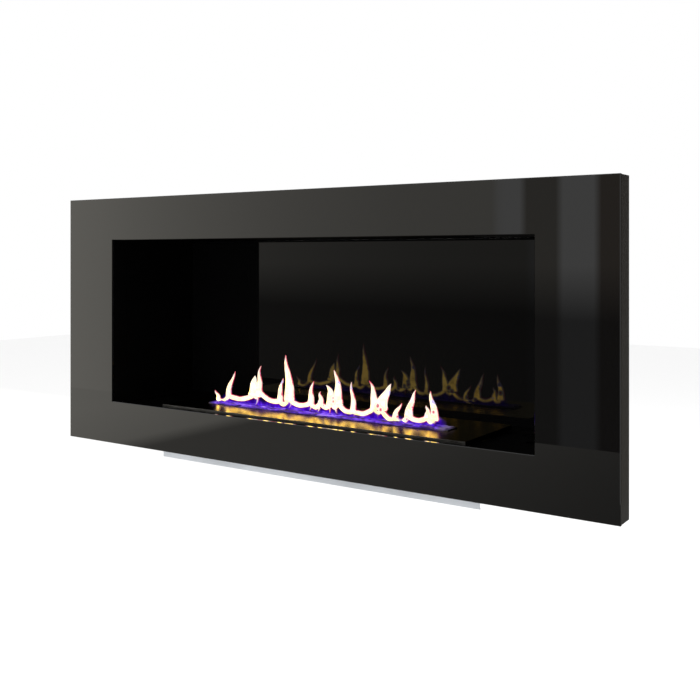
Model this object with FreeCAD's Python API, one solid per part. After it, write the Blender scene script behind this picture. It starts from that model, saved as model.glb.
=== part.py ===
"""Wall-recessed electric fireplace with a water-mist flame and a fan heater.

Frame: X to the right as seen from the room, +Y into the wall, +Z up.
The origin is the centre of the wall bolt pattern, on the wall plane (Y = 0).
The front panel stands in front of the wall (negative Y), the firebox goes into it.
Millimetres throughout.
"""
import FreeCAD, Part
import math
import os

V = FreeCAD.Vector
AXES = {"x": V(1, 0, 0), "y": V(0, 1, 0), "z": V(0, 0, 1)}

# --- driving dimensions: front panel -------------------------------------------------------
FRONT_W = 1200.0           # front glass, outer width
FRONT_H = 500.0            # front glass, outer height
FRONT_DEPTH = 40.0         # how far the front stands out from the wall
SIDE_BORDER = 132.0        # glass beside the window
END_BORDER = 85.0          # glass above and below the window
GLASS_T = 5.0
SHEET = 1.5                # folded steel of the front panel
TAPE_T = 1.0               # bonding tape between glass and frame
GLASS_CHAMFER = 0.8

# --- driving dimensions: firebox ------------------------------------------------------------
MIRROR_Y = 185.0           # face of the back mirror, behind the wall plane
MIRROR_T = 4.0
FLOOR_DROP = 7.0           # firebox floor below the window's lower edge
CASE_HALF_W = 474.0        # outer casing behind the wall
CASE_HALF_H = 225.0
CASE_BACK = 200.0
CASE_T = 1.2
FLANGE_HALF_W = 565.0      # wall flange
FLANGE_HALF_H = 240.0
FLANGE_T = 2.0
WALL_BOLT_X = 503.0
WALL_BOLT_Z = 205.0
WALL_BOLT_R = 3.3

# --- driving dimensions: deck and mist slot ---------------------------------------------------
DECK_HALF_W = 341.0
DECK_FRONT = -20.0
DECK_BACK = 150.0
DECK_TOP = -162.0
DECK_T = 2.0
DECK_WALL = 1.5
DECK_LIP = 8.0
SLOT_HALF_L = 262.0
SLOT_Y0, SLOT_Y1 = 46.0, 66.0
RIM_HALF_L = 275.0
RIM_Y0, RIM_Y1 = 39.0, 73.0
RIM_T = 1.8

# --- driving dimensions: heater ---------------------------------------------------------------
ROTOR_Y, ROTOR_Z = 112.0, 196.0    # axis of the cross-flow blower, along X
ROTOR_R = 19.0
ROTOR_HALF_L = 168.0
BLOWER_HALF_L = 180.0
SHAFT_R = 3.0
RUNNING_GAP = 0.06
OUTLET_HALF_L = 172.0
OUTLET_Y0, OUTLET_Y1 = 22.0, 66.0

# --- worked out from the above ------------------------------------------------------------------
HALF_W = FRONT_W / 2
HALF_H = FRONT_H / 2
WIN_X = HALF_W - SIDE_BORDER       # half width of the window and of the firebox
WIN_Z = HALF_H - END_BORDER        # half height of the window
CEILING_Z = WIN_Z
FLOOR_Z = -WIN_Z - FLOOR_DROP
GLASS_BACK = -FRONT_DEPTH + GLASS_T
PANEL_Y = GLASS_BACK + TAPE_T      # front of the folded steel behind the glass
CASE_IN_W = CASE_HALF_W - CASE_T
CASE_IN_H = CASE_HALF_H - CASE_T
CASE_IN_BACK = CASE_BACK - CASE_T
BASE_TOP = -CASE_IN_H              # upper face of the base pan
WALL_IN_T = 1.5                    # inner firebox sheets
CAVITY_BACK = MIRROR_Y + MIRROR_T + 1.0


def box(x0, x1, y0, y1, z0, z1):
    return Part.makeBox(x1 - x0, y1 - y0, z1 - z0, V(x0, y0, z0))


def rod(axis, start, radius, length):
    """Cylinder from start along +x, +y or +z."""
    return Part.makeCylinder(radius, length, V(*start), AXES[axis])


def group(shapes):
    return Part.makeCompound(list(shapes))


def fuse(shapes):
    shapes = list(shapes)
    return shapes[0].multiFuse(shapes[1:]).removeSplitter()


def cut(shape, tools):
    return shape.cut(Part.makeCompound(list(tools)))


def ring_xz(outer, inner, y0, y1):
    """Flat frame in the X-Z plane; outer and inner are (x0, x1, z0, z1)."""
    ox0, ox1, oz0, oz1 = outer
    ix0, ix1, iz0, iz1 = inner
    return cut(box(ox0, ox1, y0, y1, oz0, oz1), [box(ix0, ix1, y0 - 1, y1 + 1, iz0, iz1)])


def grown(rect, by):
    x0, x1, z0, z1 = rect
    return (x0 - by, x1 + by, z0 - by, z1 + by)


def mirrored(shape):
    """Copy on the other side of the X = 0 plane."""
    return shape.mirror(V(0, 0, 0), V(1, 0, 0))


def export(node, shape):
    shape.exportStep(os.path.join("parts", node + ".step"))
    print(node, len(shape.Solids), shape.isValid())


# --- front panel --------------------------------------------------------------------------------
WINDOW = (-WIN_X, WIN_X, -WIN_Z, WIN_Z)
SKIRT_INSET = 0.5                  # skirt inside the glass outline
SKIRT_BACK = -0.5
FRAME_FLANGE = 20.0                # folded flange behind the glass
REAR_LIP = 8.0
LINER_BACK = -2.6
LINER_FLANGE = 14.0
RAIL_HALF_W = 357.5                # lower support rail
RAIL_BOTTOM = -271.0
RIB_X0, RIB_X1 = 525.0, 553.0      # ribs behind the glass, beside the window
RIB_BACK = -16.0
RIB_HALF_H = 215.0
RIB_FOOT = 12.0
PIN_X = (RIB_X0 + RIB_X1) / 2
PIN_Z = 150.0
PIN_R = 3.0
PIN_LENGTH = 22.0
BUSH_R = 6.0
MAGNET_R = 10.0
MAGNET_Z = (-195.0, 0.0, 195.0)


def front_glass():
    outer = (-HALF_W, HALF_W, -HALF_H, HALF_H)
    glass = ring_xz(outer, WINDOW, -FRONT_DEPTH, GLASS_BACK)
    front_edges = [e for e in glass.Edges if e.BoundBox.YMax < -FRONT_DEPTH + 0.01]
    return glass.makeChamfer(GLASS_CHAMFER, front_edges)


def bonding_tape():
    outer = (-HALF_W + 4, HALF_W - 4, -HALF_H + 4, HALF_H - 4)
    edge_tape = ring_xz(outer, grown(outer, -12), GLASS_BACK, PANEL_Y)
    inner = grown((-WIN_X, WIN_X, FLOOR_Z, WIN_Z), 2)
    window_tape = ring_xz(grown(inner, 10), inner, GLASS_BACK, PANEL_Y)
    return group([edge_tape, window_tape])


def front_frame():
    outer = (-HALF_W + SKIRT_INSET, HALF_W - SKIRT_INSET, -HALF_H + SKIRT_INSET, HALF_H - SKIRT_INSET)
    skirt = ring_xz(outer, grown(outer, -SHEET), PANEL_Y, SKIRT_BACK)
    flange = ring_xz(outer, grown(outer, -FRAME_FLANGE), PANEL_Y, PANEL_Y + SHEET)
    lip = ring_xz(outer, grown(outer, -REAR_LIP), SKIRT_BACK - SHEET, SKIRT_BACK)
    rail_notch = box(-RAIL_HALF_W - 3, RAIL_HALF_W + 3, -5, 1, -HALF_H - 1, -HALF_H + 12)
    return cut(fuse([skirt, flange, lip]), [rail_notch])


def window_liner():
    inner = (-WIN_X, WIN_X, FLOOR_Z, WIN_Z)
    sleeve = ring_xz(grown(inner, SHEET), inner, PANEL_Y, LINER_BACK)
    flange = ring_xz(grown(inner, LINER_FLANGE), inner, PANEL_Y, PANEL_Y + SHEET)
    return fuse([sleeve, flange])


def panel_ribs():
    """Two hat-section ribs on the back of the glass, with holes for the pin bushes."""
    y0 = PANEL_Y
    web = box(RIB_X0, RIB_X1, RIB_BACK - SHEET, RIB_BACK, -RIB_HALF_H, RIB_HALF_H)
    sides = [box(x, x + SHEET, y0, RIB_BACK, -RIB_HALF_H, RIB_HALF_H) for x in (RIB_X0, RIB_X1 - SHEET)]
    feet = [
        box(RIB_X0 - RIB_FOOT, RIB_X0 + SHEET, y0, y0 + SHEET, -RIB_HALF_H, RIB_HALF_H),
        box(RIB_X1 - SHEET, RIB_X1 + RIB_FOOT, y0, y0 + SHEET, -RIB_HALF_H, RIB_HALF_H),
    ]
    rib = fuse([web] + sides + feet)
    rib = cut(rib, [rod("y", (PIN_X, RIB_BACK - 5, z), BUSH_R, 10) for z in (-PIN_Z, PIN_Z)])
    return group([rib, mirrored(rib)])


def pin_bushes():
    """Nylon bushes in the ribs: they slide over the locating pins."""
    made = []
    for x in (-PIN_X, PIN_X):
        for z in (-PIN_Z, PIN_Z):
            barrel = rod("y", (x, RIB_BACK - 6, z), BUSH_R, 8)
            flange = rod("y", (x, RIB_BACK, z), BUSH_R + 2.5, 2)
            bore = rod("y", (x, RIB_BACK - 7, z), PIN_R + RUNNING_GAP, 12)
            made.append(cut(fuse([barrel, flange]), [bore]))
    return group(made)


def panel_magnets():
    length = -FLANGE_T - 0.4 - RIB_BACK
    return group(
        rod("y", (side * PIN_X, RIB_BACK, z), MAGNET_R, length) for side in (-1, 1) for z in MAGNET_Z
    )


# --- casing -----------------------------------------------------------------------------------
SIDE_FOLD = 14.0
SCREW_X = CASE_HALF_W - CASE_T - SIDE_FOLD / 2
SCREW_Z = (-190.0, -64.0, 64.0, 190.0)
SCREW_R = 1.7
GLAND_X, GLAND_Z = -385.0, -200.0
GLAND_BARREL_R = 10.0
GLAND_BORE_R = 4.0
GLAND_HEX_R = 15.0
GLAND_DOME_R, GLAND_DOME_L = 12.5, 14.0
VENT_W = 4.0
VENT_L = 30.0
VENT_PITCH = 9.0
VENT_ROWS = ((-340, 18, -196), (120, 18, -196), (-202, 45, 196))     # first x, count, z
SCREW_HEAD_R, SCREW_HEAD_T = 3.6, 2.2
SCREW_LENGTH = 7.0


def wall_flange():
    """Four strips, one welded to each wall of the casing; the side strips carry the wall bolts."""
    made = []
    for z0, z1 in ((-FLANGE_HALF_H, -CASE_HALF_H), (CASE_HALF_H, FLANGE_HALF_H)):
        made.append(box(-FLANGE_HALF_W, FLANGE_HALF_W, -FLANGE_T, 0, z0, z1))
    for side in (-1, 1):
        x0, x1 = sorted((side * CASE_HALF_W, side * FLANGE_HALF_W))
        holes = [rod("y", (side * WALL_BOLT_X, -FLANGE_T - 1, z), WALL_BOLT_R, FLANGE_T + 2)
                 for z in (-WALL_BOLT_Z, WALL_BOLT_Z)]
        made.append(cut(box(x0, x1, -FLANGE_T, 0, -CASE_HALF_H, CASE_HALF_H), holes))
    return group(made)


def fascia_strips():
    """Close the casing above and below the firebox, level with the wall flange."""
    lower = box(-CASE_IN_W, CASE_IN_W, -FLANGE_T, 0, BASE_TOP, FLOOR_Z - WALL_IN_T)
    upper = box(-CASE_IN_W, CASE_IN_W, -FLANGE_T, 0, CEILING_Z + WALL_IN_T, CASE_IN_H)
    return group([lower, upper])


def locating_pins():
    made = []
    for x in (-PIN_X, PIN_X):
        for z in (-PIN_Z, PIN_Z):
            shank = rod("y", (x, -FLANGE_T - PIN_LENGTH, z), PIN_R, PIN_LENGTH)
            tip = [e for e in shank.Edges if e.BoundBox.YMax < -FLANGE_T - PIN_LENGTH + 0.01]
            made.append(shank.makeChamfer(1.0, tip))
    return group(made)


def lower_support_rail():
    """Angle on the front of the wall flange; its lower edge shows below the front panel."""
    leg = box(-RAIL_HALF_W, RAIL_HALF_W, -FLANGE_T - SHEET, -FLANGE_T, RAIL_BOTTOM, -CASE_HALF_H + 8)
    foot = box(-RAIL_HALF_W, RAIL_HALF_W, -FLANGE_T - SHEET, 0, RAIL_BOTTOM, RAIL_BOTTOM + SHEET)
    return fuse([leg, foot])


def side_panel():
    wall = box(CASE_IN_W, CASE_HALF_W, -FLANGE_T, CASE_IN_BACK, -CASE_IN_H, CASE_IN_H)
    fold = box(CASE_IN_W - SIDE_FOLD, CASE_HALF_W, CASE_IN_BACK - CASE_T, CASE_IN_BACK, -CASE_IN_H, CASE_IN_H)
    holes = [rod("y", (SCREW_X, CASE_IN_BACK - 5, z), SCREW_R, 10) for z in SCREW_Z]
    return cut(fuse([wall, fold]), holes)


def vent_row(x0, count, z):
    return [
        box(x0 + i * VENT_PITCH, x0 + i * VENT_PITCH + VENT_W, CASE_IN_BACK - 1, CASE_BACK + 1,
            z - VENT_L / 2, z + VENT_L / 2)
        for i in range(count)
    ]


def back_panel():
    sheet = box(-CASE_HALF_W, CASE_HALF_W, CASE_IN_BACK, CASE_BACK, -CASE_HALF_H, CASE_HALF_H)
    holes = [rod("y", (side * SCREW_X, CASE_IN_BACK - 1, z), SCREW_R, 4) for side in (-1, 1) for z in SCREW_Z]
    holes.append(rod("y", (GLAND_X, CASE_IN_BACK - 1, GLAND_Z), GLAND_BARREL_R, 4))
    for x0, count, z in VENT_ROWS:
        holes += vent_row(x0, count, z)
    return cut(sheet, holes)


def top_cover():
    return box(-CASE_HALF_W, CASE_HALF_W, -FLANGE_T, CASE_IN_BACK, CASE_IN_H, CASE_HALF_H)


def base_pan():
    return box(-CASE_HALF_W, CASE_HALF_W, -FLANGE_T, CASE_IN_BACK, -CASE_HALF_H, -CASE_IN_H)


def casing_screws():
    made = []
    for x in (-SCREW_X, SCREW_X):
        for z in SCREW_Z:
            head = rod("y", (x, CASE_BACK, z), SCREW_HEAD_R, SCREW_HEAD_T)
            recess = rod("y", (x, CASE_BACK + SCREW_HEAD_T / 2, z), SCREW_R, 2)
            shank = rod("y", (x, CASE_BACK - SCREW_LENGTH, z), SCREW_R, SCREW_LENGTH)
            made.append(cut(fuse([head, shank]), [recess]))
    return group(made)


# --- firebox ----------------------------------------------------------------------------------
HATCH_X0, HATCH_X1 = 375.0, 445.0
HATCH_Y0, HATCH_Y1 = 63.0, 141.0
HATCH_GAP = 0.5
HINGE_Y, HINGE_Z = 137.0, FLOOR_Z + 2.5
HINGE_PIN_R = 1.2
HINGE_BARREL_R = 2.6
HINGE_X0, HINGE_X1 = 386.0, 434.0
CUTOUT_HALF_W = 330.0              # hole in the floor under the deck
CUTOUT_FRONT, CUTOUT_BACK = 16.0, 138.0
INLET_PITCH = 12.0                 # air inlet slots of the heater
INLET_COUNT = 27
INLET_Y0, INLET_Y1 = 92.0, 132.0
BEZEL_X0, BEZEL_X1 = 340.0, 450.0
BEZEL_Y0, BEZEL_Y1 = 10.0, 36.0


def inner_wall():
    return box(WIN_X, WIN_X + WALL_IN_T, -FLANGE_T, CAVITY_BACK, FLOOR_Z, CEILING_Z)


def ceiling_panel():
    edge = WIN_X + WALL_IN_T
    sheet = box(-edge, edge, -FLANGE_T, CAVITY_BACK, CEILING_Z, CEILING_Z + WALL_IN_T)
    outlet = box(-OUTLET_HALF_L, OUTLET_HALF_L, OUTLET_Y0, OUTLET_Y1, CEILING_Z - 1, CEILING_Z + 5)
    bezel_cut = box(BEZEL_X0 + 4, BEZEL_X1 - 4, BEZEL_Y0 + 3, BEZEL_Y1 - 3, CEILING_Z - 1, CEILING_Z + 5)
    first = -(INLET_COUNT // 2) * INLET_PITCH
    inlet = []
    for i in range(INLET_COUNT):
        x = first + i * INLET_PITCH
        inlet.append(box(x - 2.5, x + 2.5, INLET_Y0, INLET_Y1, CEILING_Z - 1, CEILING_Z + 5))
    return cut(sheet, [outlet, bezel_cut] + inlet)


def floor_plate():
    edge = WIN_X + WALL_IN_T
    sheet = box(-edge, edge, -FLANGE_T, CAVITY_BACK, FLOOR_Z - WALL_IN_T, FLOOR_Z)
    under_deck = box(-CUTOUT_HALF_W, CUTOUT_HALF_W, CUTOUT_FRONT, CUTOUT_BACK, FLOOR_Z - 5, FLOOR_Z + 1)
    hatch_hole = box(HATCH_X0, HATCH_X1, HATCH_Y0, HATCH_Y1, FLOOR_Z - 5, FLOOR_Z + 1)
    plate = cut(sheet, [under_deck, hatch_hole])
    ears = [
        box(x0, x1, HINGE_Y - 2, HINGE_Y + 2, FLOOR_Z, HINGE_Z + 2)
        for x0, x1 in ((HATCH_X0 - 8, HINGE_X0 - 0.5), (HINGE_X1 + 0.5, HATCH_X1 + 8))
    ]
    pin = rod("x", (HATCH_X0 - 6, HINGE_Y, HINGE_Z), HINGE_PIN_R, HATCH_X1 - HATCH_X0 + 12)
    return fuse([plate] + ears + [pin])


def fill_hatch():
    """Flush lid over the filler of the water tank, hinged along its rear edge."""
    leaf = box(HATCH_X0 + HATCH_GAP, HATCH_X1 - HATCH_GAP, HATCH_Y0 + HATCH_GAP, HINGE_Y - 4,
               FLOOR_Z - WALL_IN_T, FLOOR_Z)
    front_y = HATCH_Y0 + 12
    finger_slot = rod("z", ((HATCH_X0 + HATCH_X1) / 2, front_y, FLOOR_Z - 5), 8, 10)
    barrel = rod("x", (HINGE_X0, HINGE_Y, HINGE_Z), HINGE_BARREL_R, HINGE_X1 - HINGE_X0)
    neck = box(HINGE_X0, HINGE_X1, HINGE_Y - 5, HINGE_Y, FLOOR_Z - WALL_IN_T, HINGE_Z - 2)
    bore = rod("x", (HINGE_X0 - 1, HINGE_Y, HINGE_Z), HINGE_PIN_R + RUNNING_GAP, HINGE_X1 - HINGE_X0 + 2)
    return cut(fuse([leaf, barrel, neck]), [finger_slot, bore])


def back_mirror():
    gap = 0.5
    return box(-WIN_X + gap, WIN_X - gap, MIRROR_Y, MIRROR_Y + MIRROR_T, FLOOR_Z + gap, CEILING_Z - gap)


def mirror_pads():
    size = 15.0
    return group(
        box(x - size, x + size, MIRROR_Y + MIRROR_T, CASE_IN_BACK, z - size, z + size)
        for x in (-300, 0, 300)
        for z in (-100, 100)
    )


FOOT_W, FOOT_L = 8.0, 20.0
FOOT_Y = (20.0, 112.0)
FOOT_EDGE = 0.5                    # feet stand this far outside the hole in the floor


def deck_feet():
    return group(
        box(x0, x0 + FOOT_W, y0, y0 + FOOT_L, FLOOR_Z, DECK_TOP - DECK_T)
        for x0 in (-CUTOUT_HALF_W - FOOT_EDGE - FOOT_W, CUTOUT_HALF_W + FOOT_EDGE)
        for y0 in FOOT_Y
    )


# --- deck --------------------------------------------------------------------------------------
TRIM_T = 1.2


def flame_deck():
    """Folded plate with a long slot; its lip hides the feet."""
    z0 = DECK_TOP - DECK_LIP
    outer = box(-DECK_HALF_W, DECK_HALF_W, DECK_FRONT, DECK_BACK, z0, DECK_TOP)
    top_edges = [e for e in outer.Edges if e.BoundBox.ZMin > DECK_TOP - 0.01 and e.BoundBox.YMax > DECK_FRONT + 1]
    outer = outer.makeChamfer(0.6, top_edges)
    wall = DECK_WALL
    hollow = box(-DECK_HALF_W + wall, DECK_HALF_W - wall, DECK_FRONT + wall, DECK_BACK - wall,
                 z0 - 1, DECK_TOP - DECK_T)
    slot = box(-SLOT_HALF_L, SLOT_HALF_L, SLOT_Y0, SLOT_Y1, z0 - 1, DECK_TOP + 1)
    return cut(outer, [hollow, slot])


def deck_front_trim():
    return box(-DECK_HALF_W, DECK_HALF_W, DECK_FRONT - TRIM_T, DECK_FRONT, DECK_TOP - DECK_LIP, DECK_TOP)


def slot_rim():
    z1 = DECK_TOP + RIM_T
    outer = box(-RIM_HALF_L, RIM_HALF_L, RIM_Y0, RIM_Y1, DECK_TOP, z1)
    top_edges = [e for e in outer.Edges if e.BoundBox.ZMin > z1 - 0.01]
    outer = outer.makeChamfer(0.8, top_edges)
    slot = box(-SLOT_HALF_L, SLOT_HALF_L, SLOT_Y0, SLOT_Y1, DECK_TOP - 1, z1 + 1)
    return cut(outer, [slot])


# --- mist and light unit -------------------------------------------------------------------------
CHAMBER_HALF_L = 290.0
CHAMBER_Y0, CHAMBER_Y1 = 22.0, 92.0
CHAMBER_TOP = -178.0
CHAMBER_WALL = 2.5
LID_T = 2.0
NOZZLE_Y0, NOZZLE_Y1 = 39.0, 73.0
NOZZLE_WALL = 1.5
NOZZLE_HALF_L = 268.0
NOZZLE_TOP = DECK_TOP - DECK_T - 1.0
FAN_Y, FAN_Z = 57.0, -199.0
FAN_HALF = 20.0
FAN_DEPTH = 10.0
SHROUD_DEPTH = 10.0
PIPE_Y, PIPE_Z = 85.0, -208.0
PIPE_R = 4.0
PIPE_BORE_R = 2.8
TANK_X0, TANK_X1 = 352.0, 462.0
TANK_Y0, TANK_Y1 = 20.0, 176.0
TANK_WALL = 2.5
STEM_X = 274.0
STEM_Y = 32.5
STEM_R = 3.0
FLOAT_R = 7.5
FLOAT_H = 12.0
FLOAT_Z = -206.0
CHAMBER_FLOOR = BASE_TOP + CHAMBER_WALL


def mist_chamber():
    outer = box(-CHAMBER_HALF_L, CHAMBER_HALF_L, CHAMBER_Y0, CHAMBER_Y1, BASE_TOP, CHAMBER_TOP)
    w = CHAMBER_WALL
    inside = box(-CHAMBER_HALF_L + w, CHAMBER_HALF_L - w, CHAMBER_Y0 + w, CHAMBER_Y1 - w,
                 CHAMBER_FLOOR, CHAMBER_TOP + 1)
    air = [
        box(x0, x0 + 2 * w, FAN_Y - 16, FAN_Y + 16, FAN_Z + 4, FAN_Z + 16)
        for x0 in (-CHAMBER_HALF_L - w / 2, CHAMBER_HALF_L - 3 * w / 2)
    ]
    feed = rod("x", (CHAMBER_HALF_L - 5, PIPE_Y, PIPE_Z), PIPE_BORE_R, 10)
    return cut(outer, [inside, feed] + air)


def mist_nozzle():
    """Lid of the chamber with the long nozzle that ends just under the deck slot."""
    lid = box(-CHAMBER_HALF_L, CHAMBER_HALF_L, CHAMBER_Y0, CHAMBER_Y1, CHAMBER_TOP, CHAMBER_TOP + LID_T)
    tower = box(-NOZZLE_HALF_L, NOZZLE_HALF_L, NOZZLE_Y0, NOZZLE_Y1, CHAMBER_TOP, NOZZLE_TOP)
    wall = NOZZLE_WALL
    through = box(-NOZZLE_HALF_L + wall, NOZZLE_HALF_L - wall, NOZZLE_Y0 + wall, NOZZLE_Y1 - wall,
                  CHAMBER_TOP - 1, NOZZLE_TOP + 1)
    return cut(fuse([lid, tower]), [through])


LED_HALF_L = 258.0
LED_COUNT = 21
LED_PITCH = 24.0
LED_TOP = NOZZLE_TOP - 1.0
LED_BOARD_T = 1.2
LED_CHIP_W = 5.0
LENS_T = 1.5
LENS_GAP = 0.2                     # between the LED chips and their lens


def led_boards():
    """Two LED strips inside the nozzle, one on each long wall."""
    made = []
    t = LED_BOARD_T
    front_y = NOZZLE_Y0 + NOZZLE_WALL
    back_y = NOZZLE_Y1 - NOZZLE_WALL
    for board_y, chip_y in ((front_y, front_y + t), (back_y - t, back_y - 2 * t)):
        made.append(box(-LED_HALF_L, LED_HALF_L, board_y, board_y + t, CHAMBER_TOP + LID_T, LED_TOP))
        for i in range(LED_COUNT):
            x = (i - LED_COUNT // 2) * LED_PITCH - LED_CHIP_W / 2
            made.append(box(x, x + LED_CHIP_W, chip_y, chip_y + t, LED_TOP - 7, LED_TOP - 2))
    return group(made)


def lens_strips():
    made = []
    in_from_wall = NOZZLE_WALL + 2 * LED_BOARD_T + LENS_GAP
    for y0 in (NOZZLE_Y0 + in_from_wall, NOZZLE_Y1 - in_from_wall - LENS_T):
        made.append(box(-LED_HALF_L, LED_HALF_L, y0, y0 + LENS_T, CHAMBER_TOP + LID_T, LED_TOP))
    return group(made)


NEBULISERS = 8
NEBULISER_PITCH = 60.0
NEBULISER_R = 10.0
DISC_R = 7.0
BAR_HALF_L, BAR_HALF_W = 245.0, 13.0
BAR_TOP = CHAMBER_FLOOR + 6.0
SEAT_DEPTH = 2.0


def nebuliser_x(i):
    return (i - (NEBULISERS - 1) / 2) * NEBULISER_PITCH


def transducer_bar():
    bar = box(-BAR_HALF_L, BAR_HALF_L, FAN_Y - BAR_HALF_W, FAN_Y + BAR_HALF_W, CHAMBER_FLOOR, BAR_TOP)
    seats = [rod("z", (nebuliser_x(i), FAN_Y, BAR_TOP - SEAT_DEPTH), NEBULISER_R, 5) for i in range(NEBULISERS)]
    return cut(bar, seats)


def nebuliser_discs():
    made = []
    for i in range(NEBULISERS):
        x = nebuliser_x(i)
        collar = rod("z", (x, FAN_Y, BAR_TOP - SEAT_DEPTH), NEBULISER_R, 2.5)
        recess = rod("z", (x, FAN_Y, BAR_TOP - 0.5), DISC_R, 5)
        made.append(cut(collar, [recess]))
    return group(made)


def float_stem():
    stem = rod("z", (STEM_X, STEM_Y, CHAMBER_FLOOR), STEM_R, CHAMBER_TOP - CHAMBER_FLOOR)
    stop = rod("z", (STEM_X, STEM_Y, CHAMBER_FLOOR), STEM_R + 2, 2)
    return fuse([stem, stop])


def level_float():
    body = rod("z", (STEM_X, STEM_Y, FLOAT_Z), FLOAT_R, FLOAT_H)
    edges = [e for e in body.Edges if e.BoundBox.ZLength < 0.01]
    body = body.makeFillet(1.5, edges)
    return cut(body, [rod("z", (STEM_X, STEM_Y, FLOAT_Z - 1), STEM_R + 0.09, FLOAT_H + 2)])


def on_fan_axis(shape, side):
    """Turn a shape built about +Z so that its +Z points outwards along X at a fan's place."""
    placed = shape.copy()
    placed.rotate(V(0, 0, 0), V(0, 1, 0), 90 * side)
    placed.translate(V(side * (CHAMBER_HALF_L + SHROUD_DEPTH), FAN_Y, FAN_Z))
    return placed


def fan_shrouds():
    outer = box(-FAN_HALF, FAN_HALF, -FAN_HALF, FAN_HALF, -SHROUD_DEPTH, 0)
    inner = box(-FAN_HALF + 2, FAN_HALF - 2, -FAN_HALF + 2, FAN_HALF - 2, -SHROUD_DEPTH - 1, 1)
    shroud = cut(outer, [inner])
    return group(on_fan_axis(shroud, side) for side in (-1, 1))


def fan_frame():
    body = box(-FAN_HALF, FAN_HALF, -FAN_HALF, FAN_HALF, 0, FAN_DEPTH)
    body = cut(body, [rod("z", (0, 0, -1), 18.5, FAN_DEPTH + 2)])
    hub = rod("z", (0, 0, FAN_DEPTH - 2), 7.5, 2)
    spokes = [box(-19, 19, -1, 1, FAN_DEPTH - 2, FAN_DEPTH), box(-1, 1, -19, 19, FAN_DEPTH - 2, FAN_DEPTH)]
    return cut(fuse([body, hub] + spokes), [rod("z", (0, 0, FAN_DEPTH - 3), 1 + RUNNING_GAP, 4)])


def mist_fan_frames():
    return group(on_fan_axis(fan_frame(), side) for side in (-1, 1))


def fan_rotor():
    hub = rod("z", (0, 0, 0.8), 7, FAN_DEPTH - 3.6)
    spindle = rod("z", (0, 0, 1), 1.0, FAN_DEPTH - 1)
    blade = box(5, 17.6, -0.5, 0.5, -3.6, 3.6)
    blade.rotate(V(0, 0, 0), V(1, 0, 0), 38)
    blade.translate(V(0, 0, 4.0))
    blades = []
    for i in range(7):
        turned = blade.copy()
        turned.rotate(V(0, 0, 0), V(0, 0, 1), i * 360 / 7)
        blades.append(turned)
    return fuse([hub, spindle] + blades)


def water_tank():
    outer = box(TANK_X0, TANK_X1, TANK_Y0, TANK_Y1, BASE_TOP, CHAMBER_TOP)
    w = TANK_WALL
    inside = box(TANK_X0 + w, TANK_X1 - w, TANK_Y0 + w, TANK_Y1 - w, BASE_TOP + w, CHAMBER_TOP - w)
    collar = box(HATCH_X0 + 5, HATCH_X1 - 5, HATCH_Y0 + 5, HATCH_Y1 - 13, CHAMBER_TOP - w, CHAMBER_TOP + 4)
    mouth = box(HATCH_X0 + 7, HATCH_X1 - 7, HATCH_Y0 + 7, HATCH_Y1 - 15, CHAMBER_TOP - 9, CHAMBER_TOP + 5)
    outlet = rod("x", (TANK_X0 - 1, PIPE_Y, PIPE_Z), PIPE_BORE_R, 5)
    return cut(fuse([outer, collar]), [inside, mouth, outlet])


VALVE_X0, VALVE_X1 = 318.0, 338.0


def feed_pipe():
    made = []
    for x0, x1 in ((CHAMBER_HALF_L, VALVE_X0), (VALVE_X1, TANK_X0)):
        pipe = rod("x", (x0, PIPE_Y, PIPE_Z), PIPE_R, x1 - x0)
        made.append(cut(pipe, [rod("x", (x0 - 1, PIPE_Y, PIPE_Z), PIPE_BORE_R, x1 - x0 + 2)]))
    return group(made)


def inlet_valve():
    body = box(VALVE_X0, VALVE_X1, PIPE_Y - 9, PIPE_Y + 9, PIPE_Z - 8, PIPE_Z + 8)
    coil = rod("z", ((VALVE_X0 + VALVE_X1) / 2, PIPE_Y, PIPE_Z + 8), 8, 16)
    bore = rod("x", (VALVE_X0 - 1, PIPE_Y, PIPE_Z), PIPE_BORE_R, VALVE_X1 - VALVE_X0 + 2)
    return cut(fuse([body, coil]), [bore])


# --- electrics ------------------------------------------------------------------------------------
ELECTRICS_X0, ELECTRICS_X1 = -462.0, -350.0
PSU_Y0, PSU_Y1 = 100.0, 180.0
PSU_H = 36.0
BOARD_Y0, BOARD_Y1 = 16.0, 90.0
BOARD_T = 1.6
STANDOFF = 8.0
STANDOFF_R = 3.0


def power_supply():
    top = BASE_TOP + PSU_H
    case = box(ELECTRICS_X0, ELECTRICS_X1, PSU_Y0, PSU_Y1, BASE_TOP, top)
    edges = [e for e in case.Edges if e.BoundBox.ZLength > PSU_H - 1]
    case = case.makeFillet(3, edges)
    slots = [box(x, x + 3, PSU_Y0 + 10, PSU_Y1 - 10, top - 2, top + 4) for x in range(-450, -358, 8)]
    return cut(case, slots)


def control_board():
    """Circuit board on four standoffs, with its larger components."""
    board_z = BASE_TOP + STANDOFF
    top = board_z + BOARD_T
    made = [box(ELECTRICS_X0, ELECTRICS_X1, BOARD_Y0, BOARD_Y1, board_z, top)]
    for x in (ELECTRICS_X0 + 6, ELECTRICS_X1 - 6):
        for y in (BOARD_Y0 + 6, BOARD_Y1 - 6):
            made.append(rod("z", (x, y, BASE_TOP), STANDOFF_R, STANDOFF))
    for x in (-448, -424, -400):
        made.append(box(x, x + 18, 24, 40, top, top + 15))
    for x in (-444, -428, -412):
        made.append(rod("z", (x, 60, top), 5, 16))
    made.append(box(-396, -362, 52, 80, top, top + 3))
    return group(made)


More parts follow.
